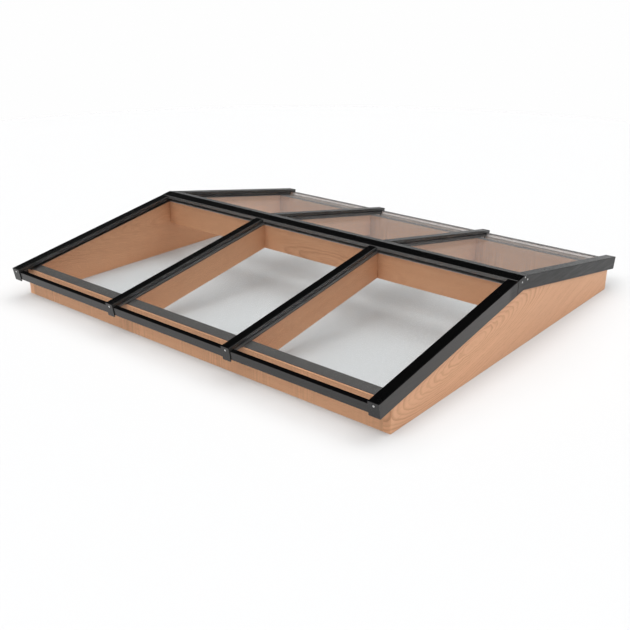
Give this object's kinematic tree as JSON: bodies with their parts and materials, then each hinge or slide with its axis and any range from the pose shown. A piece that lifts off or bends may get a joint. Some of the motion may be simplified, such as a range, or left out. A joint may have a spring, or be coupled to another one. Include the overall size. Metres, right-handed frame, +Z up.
{
  "type": "gable ended roof lantern",
  "caption": "Low pitched roof lantern on a timber kerb, with glazed slopes, timber rafters and ridge beam, and dark metal cappings that clip over the glass joints.",
  "frame": {"origin": "middle of the kerb's underside, level with the surface it rests on", "axes": "+X along the ridge, +Y across the slopes to the back, +Z up"},
  "size_m": [3.01, 2.8232, 0.457],
  "materials": {
    "timber": "light oak coloured timber, oiled satin",
    "cap_aluminium": "dark grey powder coat, fine satin texture",
    "trim_aluminium": "dark grey powder coat, satin",
    "seat_aluminium": "mid grey powder coat, satin",
    "glass": "clear toughened glass",
    "spacer": "mid grey anodised aluminium spacer bar",
    "gasket": "black rubber"
  },
  "bodies": {
    "root": {"gable_board_left": "timber", "gable_board_right": "timber", "eaves_board_front": "timber", "eaves_board_back": "timber", "ridge_beam": "timber", "rafter_front_left": "timber", "rafter_front_right": "timber", "rafter_back_left": "timber", "rafter_back_right": "timber", "edge_bar_left": "seat_aluminium", "edge_bar_right": "seat_aluminium", "glazing_bar_front_left": "seat_aluminium", "glazing_bar_front_right": "seat_aluminium", "glazing_bar_back_left": "seat_aluminium", "glazing_bar_back_right": "seat_aluminium", "eaves_rail_front": "seat_aluminium", "eaves_rail_back": "seat_aluminium", "ridge_rail": "seat_aluminium", "glass_front_left": "glass", "glass_front_middle": "glass", "glass_front_right": "glass", "glass_back_left": "glass", "glass_back_middle": "glass", "glass_back_right": "glass", "spacers_front": "spacer", "spacers_back": "spacer", "cap_gaskets": "gasket", "edge_trim_front_left": "trim_aluminium", "edge_trim_front_middle": "trim_aluminium", "edge_trim_front_right": "trim_aluminium", "edge_trim_back_left": "trim_aluminium", "edge_trim_back_middle": "trim_aluminium", "edge_trim_back_right": "trim_aluminium", "verge_cap_front_left": "cap_aluminium", "verge_cap_front_right": "cap_aluminium", "verge_cap_back_left": "cap_aluminium", "verge_cap_back_right": "cap_aluminium", "bar_cap_front_left": "cap_aluminium", "bar_cap_front_right": "cap_aluminium", "bar_cap_back_left": "cap_aluminium", "bar_cap_back_right": "cap_aluminium", "ridge_cap": "cap_aluminium", "end_plates_front": "cap_aluminium", "end_plates_back": "cap_aluminium", "ridge_end_left": "cap_aluminium", "ridge_end_right": "cap_aluminium"}
  },
  "joints": []
}
